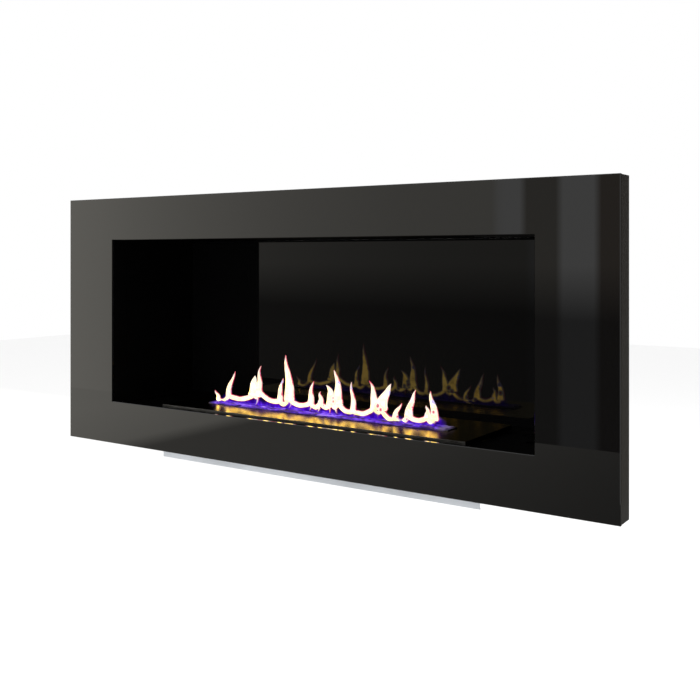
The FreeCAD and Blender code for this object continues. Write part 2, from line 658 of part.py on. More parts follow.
def cable_gland():
    """Gland for the supply cable; its bore goes through the back panel."""
    barrel = rod("y", (GLAND_X, CASE_IN_BACK - 10, GLAND_Z), GLAND_BARREL_R, 16)
    nut = hexagon_y(GLAND_HEX_R, GLAND_X, CASE_IN_BACK - 5, GLAND_Z, 5)
    collar = hexagon_y(GLAND_HEX_R, GLAND_X, CASE_BACK, GLAND_Z, 6)
    dome = rod("y", (GLAND_X, CASE_BACK + 6, GLAND_Z), GLAND_DOME_R, GLAND_DOME_L)
    rim = [e for e in dome.Edges if e.BoundBox.YMin > CASE_BACK + 6 + GLAND_DOME_L - 0.1]
    dome = dome.makeFillet(4, rim)
    bore = rod("y", (GLAND_X, CASE_IN_BACK - 11, GLAND_Z), GLAND_BORE_R, 40)
    return cut(fuse([barrel, nut, collar, dome]), [bore])


def hexagon_y(radius, x, y, z, height):
    points = []
    for i in range(7):
        a = math.radians(60 * i)
        points.append(V(x + radius * math.cos(a), y, z + radius * math.sin(a)))
    return Part.Face(Part.makePolygon(points)).extrude(V(0, height, 0))


CABLE_R = 3.0
CABLE_X = -410.0
CABLE_LOW_Z, CABLE_HIGH_Z = -206.0, 204.0
CABLE_END_Y = 72.0
CABLE_BEND = 10.0


def heater_cable():
    """Lead from the power supply, up behind the mirror, to the heating element."""
    rise_y = (MIRROR_Y + MIRROR_T + CASE_IN_BACK) / 2
    corners = [
        V(CABLE_X, PSU_Y1, CABLE_LOW_Z),
        V(CABLE_X, rise_y, CABLE_LOW_Z),
        V(CABLE_X, rise_y, CABLE_HIGH_Z),
        V(CABLE_X, CABLE_END_Y, CABLE_HIGH_Z),
        V(-BLOWER_HALF_L - WALL_IN_T, CABLE_END_Y, CABLE_HIGH_Z),
    ]
    edges = []
    start = corners[0]
    for before, corner, after in zip(corners, corners[1:], corners[2:]):
        into = (corner - before).normalize()
        out = (after - corner).normalize()
        a = corner - into * CABLE_BEND
        b = corner + out * CABLE_BEND
        centre = a + out * CABLE_BEND
        middle = centre + (corner - centre).normalize() * CABLE_BEND
        edges += [Part.LineSegment(start, a).toShape(), Part.Arc(a, middle, b).toShape()]
        start = b
    edges.append(Part.LineSegment(start, corners[-1]).toShape())
    path = Part.Wire(edges)
    section = Part.Wire(Part.Circle(corners[0], V(0, 1, 0), CABLE_R).toShape())
    return path.makePipeShell([section], True, False)


# --- fan heater --------------------------------------------------------------------------------------
SCROLL_R = 23.0
ELEMENT_Y0, ELEMENT_Y1 = 68.0, 84.0
ELEMENT_Z0, ELEMENT_Z1 = 169.0, 217.0
BUSH_OUTER_R = 7.0
HEATER_BOTTOM = CEILING_Z + WALL_IN_T


def blower_scroll():
    """Curved back, top and front of the blower; air comes in from below and leaves at the front."""
    y, z = ROTOR_Y, ROTOR_Z
    length = 2 * BLOWER_HALF_L
    x0 = -BLOWER_HALF_L
    drop = 12.0
    back_y = y + math.sqrt(SCROLL_R ** 2 - drop ** 2)
    shell = rod("x", (x0, y, z), SCROLL_R + CASE_T, length)
    shell = cut(shell, [
        rod("x", (x0 - 1, y, z), SCROLL_R, length + 2),
        box(x0 - 1, -x0 + 1, y - 60, y, z - 40, z + 40),
        box(x0 - 1, -x0 + 1, y - 1, y + 60, z - 40, z - drop),
    ])
    back = box(x0, -x0, back_y, back_y + CASE_T, HEATER_BOTTOM, z - drop + 0.5)
    top = box(x0, -x0, OUTLET_Y0 - 6, y, z + SCROLL_R, z + SCROLL_R + CASE_T)
    front = box(x0, -x0, OUTLET_Y0 - 6, OUTLET_Y0 - 6 + CASE_T, HEATER_BOTTOM, z + SCROLL_R)
    tongue = box(x0, -x0, ELEMENT_Y1 + 3, ELEMENT_Y1 + 3 + CASE_T, HEATER_BOTTOM, z - drop)
    return group([fuse([shell, back, top, front]), tongue])


def blower_end_plates():
    t = WALL_IN_T
    plate = box(BLOWER_HALF_L, BLOWER_HALF_L + t, OUTLET_Y0 - 6, 138, HEATER_BOTTOM, ROTOR_Z + 25)
    plate = cut(plate, [rod("x", (BLOWER_HALF_L - 1, ROTOR_Y, ROTOR_Z), BUSH_OUTER_R, 5)])
    return group([plate, mirrored(plate)])


def rotor_bearings():
    made = []
    for x0 in (-BLOWER_HALF_L - 3, BLOWER_HALF_L - 2):
        bush = rod("x", (x0, ROTOR_Y, ROTOR_Z), BUSH_OUTER_R, 5)
        made.append(cut(bush, [rod("x", (x0 - 1, ROTOR_Y, ROTOR_Z), SHAFT_R + RUNNING_GAP, 7)]))
    return group(made)


MOTOR_X = 186.0
MOTOR_LENGTH = 40.0


def blower_rotor():
    """Cross-flow wheel: three discs and a ring of blades on one shaft."""
    shaft_start = -BLOWER_HALF_L - 3
    shaft = rod("x", (shaft_start, ROTOR_Y, ROTOR_Z), SHAFT_R, MOTOR_X + 12 - shaft_start)
    discs = [
        rod("x", (x, ROTOR_Y, ROTOR_Z), ROTOR_R, 2) for x in (-ROTOR_HALF_L, -1, ROTOR_HALF_L - 2)
    ]
    blade = box(-ROTOR_HALF_L + 1, ROTOR_HALF_L - 1, 12.5, 18.6, -0.4, 0.4)
    blade.rotate(V(0, 15.5, 0), V(1, 0, 0), 24)
    blades = []
    for i in range(24):
        turned = blade.copy()
        turned.rotate(V(0, 0, 0), V(1, 0, 0), i * 15)
        turned.translate(V(0, ROTOR_Y, ROTOR_Z))
        blades.append(turned)
    return fuse([shaft] + discs + blades)


def blower_motor():
    body = rod("x", (MOTOR_X, ROTOR_Y, ROTOR_Z), 20, MOTOR_LENGTH)
    rims = [e for e in body.Edges if e.BoundBox.XLength < 0.01]
    body = body.makeFillet(2, rims)
    seat = box(MOTOR_X + 4, MOTOR_X + 34, ROTOR_Y - 14, ROTOR_Y + 14, HEATER_BOTTOM, ROTOR_Z - 15)
    bore = rod("x", (MOTOR_X - 1, ROTOR_Y, ROTOR_Z), SHAFT_R + RUNNING_GAP, 15)
    return cut(fuse([body, seat]), [bore])


def heating_element():
    """Ceramic heater bars with packs of fins between them, in two end caps."""
    y0, y1 = ELEMENT_Y0, ELEMENT_Y1
    half = 166.0
    bar = 4.0
    span = (ELEMENT_Z1 - ELEMENT_Z0 - 3 * bar) / 2
    made = []
    for i in range(3):
        z = ELEMENT_Z0 + i * (bar + span)
        made.append(box(-half, half, y0, y1, z, z + bar))
    pitch = 8.0
    count = int(2 * half / pitch) - 1
    for i in range(count):
        x = -half + pitch * (i + 1)
        for k in range(2):
            z = ELEMENT_Z0 + bar + k * (bar + span)
            made.append(box(x, x + 0.6, y0 + 1, y1 - 1, z, z + span))
    for x0 in (-half - 8, half):
        made.append(box(x0, x0 + 8, y0 - 1, y1 + 1, ELEMENT_Z0 - 1, ELEMENT_Z1 + 1))
    return group(made)


VANE_Y, VANE_Z = 59.0, CEILING_Z + 2.6
VANE_PIN_R = 1.4
FRAME_IN = 4.0


def outlet_frame():
    top = CEILING_Z + 7
    outer = box(-OUTLET_HALF_L, OUTLET_HALF_L, OUTLET_Y0, OUTLET_Y1, CEILING_Z, top)
    inner = box(-OUTLET_HALF_L + FRAME_IN, OUTLET_HALF_L - FRAME_IN, OUTLET_Y0 + FRAME_IN,
                OUTLET_Y1 - FRAME_IN, CEILING_Z - 1, top + 1)
    frame = cut(outer, [inner])
    bars = [box(x - 1, x + 1, OUTLET_Y0 + 2, OUTLET_Y1 - 2, top - 1.6, top) for x in range(-144, 145, 24)]
    pin_hole = rod("x", (-OUTLET_HALF_L - 1, VANE_Y, VANE_Z), VANE_PIN_R + RUNNING_GAP, 2 * OUTLET_HALF_L + 2)
    return cut(fuse([frame] + bars), [pin_hole])


def louvre():
    half = OUTLET_HALF_L - FRAME_IN - 0.5
    vane = box(-half, half, OUTLET_Y0 + FRAME_IN + 0.6, VANE_Y + 1, CEILING_Z + 0.2, CEILING_Z + 1.7)
    barrel = rod("x", (-half, VANE_Y, VANE_Z), 1.8, 2 * half)
    pins = rod("x", (-half - 3.5, VANE_Y, VANE_Z), VANE_PIN_R, 2 * half + 7)
    return fuse([vane, barrel, pins])


# --- controls --------------------------------------------------------------------------------------------
ROCKER_X = 430.0
CONTROL_Y = (BEZEL_Y0 + BEZEL_Y1) / 2
BEZEL_Z0 = CEILING_Z - 2.0
ROCKER_Z = CEILING_Z + 3.0
ROCKER_HALF = 8.0
BUTTON_X = {"flame_button": 356.0, "heat_button": 378.0, "light_button": 400.0}
BUTTON_R = 4.5
SWITCH_Z = CEILING_Z + 9.0


def control_bezel():
    """Bezel under the ceiling, with its switch board above it on two posts."""
    plate = box(BEZEL_X0, BEZEL_X1, BEZEL_Y0, BEZEL_Y1, BEZEL_Z0, CEILING_Z)
    edges = [e for e in plate.Edges if e.BoundBox.ZLength > 1]
    plate = plate.makeFillet(3, edges)
    holes = [rod("z", (x, CONTROL_Y, BEZEL_Z0 - 1), BUTTON_R + 0.09, 5) for x in BUTTON_X.values()]
    holes.append(box(ROCKER_X - 9, ROCKER_X + 9, CONTROL_Y - 6, CONTROL_Y + 6, BEZEL_Z0 - 1, CEILING_Z + 1))
    plate = cut(plate, holes)
    posts = [rod("z", (x, CONTROL_Y, CEILING_Z), 2.5, SWITCH_Z - CEILING_Z) for x in (347, 412)]
    board = box(343, 444, BEZEL_Y0 + 5, BEZEL_Y1 - 5, SWITCH_Z, SWITCH_Z + 1.6)
    slot = box(ROCKER_X - 11, ROCKER_X + 11, CONTROL_Y - 9, CONTROL_Y + 9, SWITCH_Z - 1, SWITCH_Z + 3)
    receiver = rod("z", (BEZEL_X1 - 5, CONTROL_Y, BEZEL_Z0 - 1.2), 2.2, 1.2)
    return fuse([plate, cut(board, [slot]), receiver] + posts)


def rocker_key():
    """Two-position power switch key on a cross pin."""
    x, y, z = ROCKER_X, CONTROL_Y, ROCKER_Z
    points = [
        V(x - ROCKER_HALF, y - 5, z - 4.6),
        V(x, y - 5, z - 5.6),
        V(x + ROCKER_HALF, y - 5, z - 4.6),
        V(x + ROCKER_HALF, y - 5, z - 0.5),
        V(x, y - 5, z + 3),
        V(x - ROCKER_HALF, y - 5, z - 0.5),
        V(x - ROCKER_HALF, y - 5, z - 4.6),
    ]
    key = Part.Face(Part.makePolygon(points)).extrude(V(0, 10, 0))
    return cut(key, [rod("y", (x, y - 6, z), 1 + RUNNING_GAP, 12)])


def rocker_cradle():
    """Ears above the bezel that hold the rocker's pin."""
    x, y, z = ROCKER_X, CONTROL_Y, ROCKER_Z
    ears = [box(x - 3, x + 3, y0, y0 + 2, CEILING_Z, z + 3) for y0 in (y - 8, y + 6)]
    pin = rod("y", (x, y - 8, z), 1.0, 16)
    return fuse(ears + [pin])


def push_button(x):
    cap = rod("z", (x, CONTROL_Y, BEZEL_Z0 - 2), BUTTON_R, 7)
    face = [e for e in cap.Edges if e.BoundBox.ZMax < BEZEL_Z0 - 1.9]
    cap = cap.makeFillet(0.7, face)
    collar = rod("z", (x, CONTROL_Y, CEILING_Z + 0.3), BUTTON_R + 1.5, 1.5)
    return fuse([cap, collar])


def build():
    os.makedirs("parts", exist_ok=True)
    side = side_panel()
    wall = inner_wall()
    rotor = fan_rotor()
    nodes = {
        "front_glass": front_glass(),
        "bonding_tape": bonding_tape(),
        "front_frame": front_frame(),
        "window_liner": window_liner(),
        "panel_ribs": panel_ribs(),
        "pin_bushes": pin_bushes(),
        "panel_magnets": panel_magnets(),
        "wall_flange": wall_flange(),
        "fascia_strips": fascia_strips(),
        "locating_pins": locating_pins(),
        "lower_support_rail": lower_support_rail(),
        "side_panel_right": side,
        "side_panel_left": mirrored(side),
        "back_panel": back_panel(),
        "top_cover": top_cover(),
        "base_pan": base_pan(),
        "casing_screws": casing_screws(),
        "inner_wall_right": wall,
        "inner_wall_left": mirrored(wall),
        "ceiling_panel": ceiling_panel(),
        "floor_plate": floor_plate(),
        "fill_hatch": fill_hatch(),
        "back_mirror": back_mirror(),
        "mirror_pads": mirror_pads(),
        "deck_feet": deck_feet(),
        "flame_deck": flame_deck(),
        "deck_front_trim": deck_front_trim(),
        "slot_rim": slot_rim(),
        "mist_chamber": mist_chamber(),
        "mist_nozzle": mist_nozzle(),
        "led_boards": led_boards(),
        "lens_strips": lens_strips(),
        "transducer_bar": transducer_bar(),
        "nebuliser_discs": nebuliser_discs(),
        "float_stem": float_stem(),
        "level_float": level_float(),
        "fan_shrouds": fan_shrouds(),
        "mist_fan_frames": mist_fan_frames(),
        "mist_fan_rotor_right": on_fan_axis(rotor, 1),
        "mist_fan_rotor_left": on_fan_axis(rotor, -1),
        "water_tank": water_tank(),
        "feed_pipe": feed_pipe(),
        "inlet_valve": inlet_valve(),
        "power_supply": power_supply(),
        "control_board": control_board(),
        "cable_gland": cable_gland(),
        "heater_cable": heater_cable(),
        "blower_scroll": blower_scroll(),
        "blower_end_plates": blower_end_plates(),
        "rotor_bearings": rotor_bearings(),
        "blower_rotor": blower_rotor(),
        "blower_motor": blower_motor(),
        "heating_element": heating_element(),
        "outlet_frame": outlet_frame(),
        "louvre": louvre(),
        "control_bezel": group([control_bezel(), rocker_cradle()]),
        "rocker_key": rocker_key(),
    }
    for name, x in BUTTON_X.items():
        nodes[name] = push_button(x)
    for name, shape in nodes.items():
        export(name, shape)
    print(len(nodes), "nodes")


build()
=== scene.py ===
"""The look of a wall-recessed electric fireplace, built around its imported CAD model.

The CAD parts keep their shapes and get procedural materials. The flames, their lit mist and a
few rivets are made here. Metres throughout; X right, +Y into the wall, +Z up.
"""
import math

import bmesh
import bpy
import numpy as np
from mathutils import Matrix, Vector, noise


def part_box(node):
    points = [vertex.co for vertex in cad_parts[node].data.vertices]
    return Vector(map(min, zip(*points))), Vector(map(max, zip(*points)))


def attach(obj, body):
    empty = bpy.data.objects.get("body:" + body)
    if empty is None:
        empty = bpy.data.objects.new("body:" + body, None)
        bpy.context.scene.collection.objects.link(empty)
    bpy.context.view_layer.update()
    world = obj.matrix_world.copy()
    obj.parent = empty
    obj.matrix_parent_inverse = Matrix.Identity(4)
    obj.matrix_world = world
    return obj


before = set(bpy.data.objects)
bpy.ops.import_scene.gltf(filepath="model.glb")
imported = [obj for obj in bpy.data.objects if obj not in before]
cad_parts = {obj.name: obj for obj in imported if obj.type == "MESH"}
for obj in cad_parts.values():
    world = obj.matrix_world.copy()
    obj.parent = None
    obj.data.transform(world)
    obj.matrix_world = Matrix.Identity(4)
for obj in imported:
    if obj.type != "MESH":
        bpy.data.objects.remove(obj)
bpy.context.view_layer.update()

MM = 0.001
SEED = 7

# --- camera and studio ---------------------------------------------------------------------
CAMERA_AT = (1.027, -1.2885, 0.1337)
CAMERA_TURN = 32.4475              # degrees to the left of straight ahead
CAMERA_LENS = 46.67
CAMERA_SHIFT = (-0.0735, -0.1353)
MOUNT_HEIGHT = 0.65                # lower edge of the front above the floor
STUDIO_WALL_Y = -3.4               # what the black glass looks at

glass_low, glass_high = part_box("front_glass")
deck_low, deck_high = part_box("flame_deck")
rim_low, rim_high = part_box("slot_rim")
FLOOR_Z = glass_low.z - MOUNT_HEIGHT
DECK_Z = deck_high.z
SLOT_Y = (rim_low.y + rim_high.y) / 2


# --- small helpers ---------------------------------------------------------------------------
def new_object(name, mesh):
    obj = bpy.data.objects.new(name, mesh)
    bpy.context.scene.collection.objects.link(obj)
    return obj


def mesh_from(name, verts, faces):
    mesh = bpy.data.meshes.new(name)
    mesh.from_pydata(verts, [], faces)
    mesh.update()
    return mesh


def shade_smooth(obj):
    for polygon in obj.data.polygons:
        polygon.use_smooth = True


class Surface:
    """A node material round one Principled shader, with short calls for its textures."""

    def __init__(self, name, base, rough, metal=0.0, specular=0.5):
        self.mat = bpy.data.materials.new(name)
        self.mat.use_nodes = True
        self.nodes = self.mat.node_tree.nodes
        self.links = self.mat.node_tree.links
        self.shader = next(n for n in self.nodes if n.type == "BSDF_PRINCIPLED")
        self.shader.inputs["Base Color"].default_value = (*base, 1.0)
        self.shader.inputs["Roughness"].default_value = rough
        self.shader.inputs["Metallic"].default_value = metal
        self.shader.inputs["Specular IOR Level"].default_value = specular
        self.mat.diffuse_color = (*base, 1.0)
        self.place = None

    def node(self, kind, **settings):
        made = self.nodes.new(kind)
        for key, value in settings.items():
            setattr(made, key, value)
        return made

    def coords(self, stretch=(1, 1, 1)):
        if self.place is None:
            self.place = self.node("ShaderNodeTexCoord")
        mapping = self.node("ShaderNodeMapping")
        mapping.inputs["Scale"].default_value = stretch
        self.links.new(self.place.outputs["Object"], mapping.inputs["Vector"])
        return mapping.outputs["Vector"]

    def noise(self, scale, detail=3.0, stretch=(1, 1, 1), distortion=0.0):
        made = self.node("ShaderNodeTexNoise")
        made.inputs["Scale"].default_value = scale
        made.inputs["Detail"].default_value = detail
        made.inputs["Distortion"].default_value = distortion
        self.links.new(self.coords(stretch), made.inputs["Vector"])
        return made.outputs["Fac"]

    def cells(self, scale, output="Color", stretch=(1, 1, 1)):
        made = self.node("ShaderNodeTexVoronoi")
        made.inputs["Scale"].default_value = scale
        self.links.new(self.coords(stretch), made.inputs["Vector"])
        return made.outputs[output]

    def span(self, value, low, high, from_low=0.3, from_high=0.7):
        made = self.node("ShaderNodeMapRange")
        made.inputs["From Min"].default_value = from_low
        made.inputs["From Max"].default_value = from_high
        self.feed(made.inputs["To Min"], low)
        self.feed(made.inputs["To Max"], high)
        self.links.new(value, made.inputs["Value"])
        return made.outputs["Result"]

    def ramp(self, value, stops, interpolation="LINEAR"):
        made = self.node("ShaderNodeValToRGB")
        made.color_ramp.interpolation = interpolation
        elements = made.color_ramp.elements
        while len(elements) < len(stops):
            elements.new(1.0)
        for element, (place, colour) in zip(elements, stops):
            element.position = place
            element.color = (*colour, 1.0)
        self.links.new(value, made.inputs["Fac"])
        return made.outputs["Color"]

    def math(self, operation, *values):
        made = self.node("ShaderNodeMath", operation=operation)
        for socket, value in zip(made.inputs, values):
            self.feed(socket, value)
        return made.outputs[0]

    def add(self, a, b):
        return self.math("ADD", a, b)

    def multiply(self, a, b):
        return self.math("MULTIPLY", a, b)

    def axis(self, index):
        """One coordinate of the shaded point, in metres."""
        made = self.node("ShaderNodeSeparateXYZ")
        self.links.new(self.coords(), made.inputs["Vector"])
        return made.outputs[index]

    def far_from(self, index, middle):
        return self.math("ABSOLUTE", self.math("SUBTRACT", self.axis(index), middle))

    def blend(self, factor, first, second):
        made = self.node("ShaderNodeMix", data_type="RGBA")
        self.feed(made.inputs["Factor"], factor)
        self.feed(made.inputs["A"], first)
        self.feed(made.inputs["B"], second)
        return made.outputs["Result"]

    def feed(self, socket, value):
        """Links a node's output to a socket, or sets the socket to a number or a colour."""
        if isinstance(value, bpy.types.NodeSocket):
            self.links.new(value, socket)
        elif isinstance(value, tuple):
            socket.default_value = (*value, 1.0)
        else:
            socket.default_value = value

    def colour(self, output):
        self.links.new(output, self.shader.inputs["Base Color"])

    def rough(self, output):
        self.links.new(output, self.shader.inputs["Roughness"])

    def bump(self, height, strength, distance):
        made = self.node("ShaderNodeBump")
        made.inputs["Strength"].default_value = strength
        made.inputs["Distance"].default_value = distance
        self.links.new(height, made.inputs["Height"])
        if self.shader.inputs["Normal"].links:
            earlier = self.shader.inputs["Normal"].links[0].from_socket
            self.links.new(earlier, made.inputs["Normal"])
        self.links.new(made.outputs["Normal"], self.shader.inputs["Normal"])


def scaled(colour, factor):
    return tuple(c * factor for c in colour)


# --- materials ----------------------------------------------------------------------------------
def black_glass(name, specular, tint=(0.0022, 0.0022, 0.0024)):
    """Back-painted glass: nearly black, mirror smooth, with faint wiping marks."""
    s = Surface(name, tint, 0.02, specular=specular)
    wipe = s.noise(5.0, 4.0, stretch=(1.0, 1.0, 2.2), distortion=0.6)
    s.rough(s.span(wipe, 0.004, 0.012))
    s.bump(s.noise(2.2, 1.0), 0.008, 0.0004)
    return s.mat


def powder_coat(name, base, rough=0.42, specular=0.35, grain=1400.0):
    """Painted sheet with the fine pebble of a powder coat."""
    s = Surface(name, base, rough, specular=specular)
    cloud = s.noise(14.0, 4.0)
    s.colour(s.ramp(cloud, [(0.3, scaled(base, 0.7)), (0.7, scaled(base, 1.35))]))
    s.rough(s.span(s.noise(40.0, 3.0), rough - 0.06, rough + 0.08))
    s.bump(s.noise(grain, 2.0), 0.18, 0.00008)
    return s.mat


def gloss_paint(name, base, rough=0.16, specular=0.4):
    """Smooth stoved paint with a slight orange peel."""
    s = Surface(name, base, rough, specular=specular)
    s.colour(s.ramp(s.noise(6.0, 3.0), [(0.3, scaled(base, 0.85)), (0.7, scaled(base, 1.15))]))
    s.rough(s.span(s.noise(22.0, 3.0), rough * 0.85, rough * 1.25))
    s.bump(s.noise(420.0, 1.0), 0.1, 0.00006)
    return s.mat


def galvanised(name):
    """Zinc-coated sheet with its spangle."""
    s = Surface(name, (0.5, 0.51, 0.53), 0.38, metal=1.0)
    flake = s.node("ShaderNodeSeparateColor")
    s.links.new(s.cells(95.0, stretch=(1, 1, 1.3)), flake.inputs["Color"])
    s.colour(s.ramp(flake.outputs["Red"], [(0.0, (0.36, 0.37, 0.39)), (0.5, (0.5, 0.51, 0.53)),
                                           (1.0, (0.66, 0.67, 0.69))]))
    s.rough(s.span(flake.outputs["Green"], 0.28, 0.5, 0.0, 1.0))
    s.bump(s.noise(60.0, 3.0), 0.06, 0.0002)
    return s.mat


def brushed_steel(name, base, rough=0.3, along="x", metal=1.0):
    """Steel with fine brush lines along one axis."""
    stretch = {"x": (0.02, 1, 1), "z": (1, 1, 0.02), "y": (1, 0.02, 1)}[along]
    s = Surface(name, base, rough, metal=metal)
    lines = s.noise(1800.0, 2.0, stretch=stretch)
    s.colour(s.ramp(lines, [(0.3, scaled(base, 0.82)), (0.7, scaled(base, 1.12))]))
    s.rough(s.span(lines, rough - 0.08, rough + 0.1))
    s.bump(lines, 0.12, 0.00004)
    return s.mat


def machined_metal(name, base, rough=0.28):
    s = Surface(name, base, rough, metal=1.0)
    s.colour(s.ramp(s.noise(90.0, 4.0), [(0.3, scaled(base, 0.8)), (0.7, scaled(base, 1.1))]))
    s.rough(s.span(s.noise(300.0, 3.0), rough - 0.06, rough + 0.12))
    s.bump(s.noise(900.0, 2.0), 0.08, 0.00005)
    return s.mat


def moulded_plastic(name, base, rough=0.5, specular=0.4):
    """Moulded plastic with a fine spark-eroded grain."""
    s = Surface(name, base, rough, specular=specular)
    s.colour(s.ramp(s.noise(10.0, 3.0), [(0.3, scaled(base, 0.9)), (0.7, scaled(base, 1.1))]))
    s.rough(s.span(s.noise(50.0, 2.0), rough - 0.05, rough + 0.06))
    s.bump(s.cells(1100.0, "Distance"), 0.12, 0.00006)
    return s.mat


def clear_plastic(name, base, rough, alpha):
    """Milky plastic that lets what is behind it show a little."""
    s = Surface(name, base, rough)
    s.shader.inputs["Alpha"].default_value = alpha
    s.colour(s.ramp(s.noise(18.0, 3.0), [(0.3, scaled(base, 0.92)), (0.7, base)]))
    s.rough(s.span(s.noise(70.0, 2.0), rough - 0.05, rough + 0.08))
    return s.mat


def rubber(name, base):
    s = Surface(name, base, 0.8, specular=0.25)
    s.colour(s.ramp(s.noise(120.0, 4.0), [(0.3, scaled(base, 0.8)), (0.7, scaled(base, 1.3))]))
    s.rough(s.span(s.noise(60.0, 2.0), 0.7, 0.9))
    s.bump(s.noise(1500.0, 3.0), 0.2, 0.00008)
    return s.mat


def circuit_board(name):
    """Solder mask with tracks pressed through it."""
    s = Surface(name, (0.02, 0.12, 0.05), 0.3)
    tracks = s.cells(260.0, "Distance", stretch=(1, 1, 0.1))
    s.colour(s.ramp(tracks, [(0.12, (0.05, 0.22, 0.1)), (0.2, (0.015, 0.09, 0.04))]))
    s.rough(s.span(s.noise(200.0, 2.0), 0.25, 0.42))
    s.bump(tracks, 0.15, 0.00005)
    return s.mat


def led_strip(name):
    """White solder mask; the chips on it glow a little."""
    s = Surface(name, (0.7, 0.7, 0.66), 0.4)
    s.colour(s.ramp(s.noise(150.0, 3.0), [(0.3, (0.6, 0.6, 0.56)), (0.7, (0.78, 0.78, 0.74))]))
    s.rough(s.span(s.noise(80.0, 2.0), 0.32, 0.5))
    s.shader.inputs["Emission Color"].default_value = (0.32, 0.2, 1.0, 1.0)
    s.shader.inputs["Emission Strength"].default_value = 0.5
    return s.mat


def deck_coat(name):
    """Dark polished coat: at a low angle it mirrors the flames softly and dimly."""
    base = (0.006, 0.005, 0.0045)
    s = Surface(name, base, 0.17, metal=1.0)
    s.colour(s.ramp(s.noise(9.0, 4.0), [(0.3, scaled(base, 0.7)), (0.7, scaled(base, 1.5))]))
    s.shader.inputs["Specular Tint"].default_value = (1.0, 0.9, 0.6, 1.0)
    s.rough(s.span(s.noise(30.0, 3.0), 0.19, 0.26))
    s.bump(s.noise(650.0, 2.0), 0.03, 0.00004)
    return s.mat


# --- flames -----------------------------------------------------------------------------------------
# Tongues: (place along the deck, foot, tip, half width at the foot, lean of the tip), millimetres.
TONGUES = (
    (-264, 6, 24, 6, -8), (-235, 15, 65, 8, 20), (-168, 22, 60, 17, -2), (-157, 30, 80, 8, 4),
    (-105, 15, 60, 8, 5), (-82, 20, 105, 13, -6), (-30, 18, 60, 8, 4), (-6, 20, 42, 7, -2),
    (22, 22, 55, 14, -15), (36, 25, 85, 11, -6), (69, 12, 65, 7, -3), (116, 22, 70, 10, -14),
    (130, 22, 68, 14, 22), (160, 6, 36, 7, 12), (187, 14, 62, 9, 18), (225, 16, 36, 7, 0),
    (239, 14, 62, 9, -8),
)
TONGUE_STEPS = 7
TONGUE_SWAY = 3
TONGUE_TAPER = 0.8
TIP_HALF = 0.6
# Bands between the feet of neighbouring tongues.
LINK_STEPS = 4
LINK_SAG = 7
LINK_HALF = 6
# Drips: (place along the deck, lean). Sections of a drip: (share of its lean, height, half width).
DRIPS = ((-160, -5), (-76, -7), (-28, -5), (-8, -5), (17, 0), (30, 5), (72, -1), (122, 0))
DRIP_SECTIONS = ((0.0, 16, 3), (0.3, 9, 2.2), (1.0, 3, 1))


def tongue(x, foot, tip, half, lean):
    """Spine of one flame: it leans more toward its tip, sways once and thins to a point."""
    points = []
    for step in range(TONGUE_STEPS + 1):
        t = step / TONGUE_STEPS
        sway = TONGUE_SWAY * math.sin(2 * math.pi * t + x) * t
        half_width = half * (1 - t) ** TONGUE_TAPER + TIP_HALF
        points.append((x + lean * t * t + sway, foot + (tip - foot) * t, half_width))
    return tuple(points)


def link(left, right):
    """Sagging band of flame between the feet of two neighbours."""
    points = []
    for step in range(LINK_STEPS + 1):
        t = step / LINK_STEPS
        sag = LINK_SAG * math.sin(math.pi * t)
        x = left[0] + (right[0] - left[0]) * t
        height = left[1] + (right[1] - left[1]) * t - sag
        points.append((x, height, LINK_HALF))
    return tuple(points)


def drip(x, lean):
    """Thin tail that hangs from the band to the deck."""
    return tuple((x + lean * share, height, half_width) for share, height, half_width in DRIP_SECTIONS)


# Each stroke is a spine: (x, height above the deck, half width), millimetres. Strokes that
# touch flow into one another when the body is skinned.
STROKES = tuple(
    [tongue(*row) for row in TONGUES]
    + [link(left, right) for left, right in zip(TONGUES, TONGUES[1:])]
    + [drip(*row) for row in DRIPS]
)
SPINE_STEP = 1.2 * MM
RING = 12
FLATNESS = 0.24                    # depth of a stroke over its width
THIN_DEPTH = 0.9 * MM
SWAY = 5.0 * MM
CAP = 4.5 * MM                     # a stroke's end bulges no further than this
VOXEL = 0.95 * MM
# Redder places inside the flames: (x, height, depth in mm that the flame seems to have there).
# A negative depth is a hole.
SPOTS = (
    (-97, 30, -0.8), (-178, 28, 1.9), (27, 27, 0.2), (26, 33, 0.9), (17, 24, 0.8), (124, 28, 0.0),
    (131, 22, 0.5), (165, 12, 0.3), (172, 9, 0.3), (184, 9, 0.9), (239, 27, 0.2), (199, 36, 0.2),
    (196, 31, 0.8), (-229, 20, 2.0), (-70, 27, 1.0), (2, 17, 0.9),
)
SPOT_SPREAD = 0.55
# Lilac places: (x, height, radius).
LILAC = ((38, 63, 7), (68, 56, 8), (148, 50, 9), (239, 44, 9), (-12, 24, 5), (103, 54, 6), (-101, 55, 6))


def spine_samples(stroke):
    """Even points along a Catmull-Rom curve through a stroke: (x, height, half width), in metres."""
    points = [Vector((x * MM, z * MM, r * MM)) for x, z, r in stroke]
    points = [points[0] * 2 - points[1]] + points + [points[-1] * 2 - points[-2]]
    made = []
    for a, b, c, d in zip(points, points[1:], points[2:], points[3:]):
        steps = max(2, int((c.xy - b.xy).length / SPINE_STEP))
        for i in range(steps):
            t = i / steps
            made.append(0.5 * (2 * b + (c - a) * t + (2 * a - 5 * b + 4 * c - d) * t ** 2
                               + (3 * b - a - 3 * c + d) * t ** 3))
    made.append(points[-2])
    return [Vector((p.x, p.y, max(p.z, 0.4 * MM))) for p in made]


def round_cap(before, end):
    """Shrinking sections past the end of a spine, so that the tube ends in a dome."""
    run = (end.xy - before.xy).normalized()
    made = []
    for degrees in (30, 55, 75):
        turn = math.radians(degrees)
        ahead = run * min(end.z, CAP) * math.sin(turn)
        made.append(Vector((end.x + ahead.x, end.y + ahead.y, end.z * math.cos(turn))))
    return made


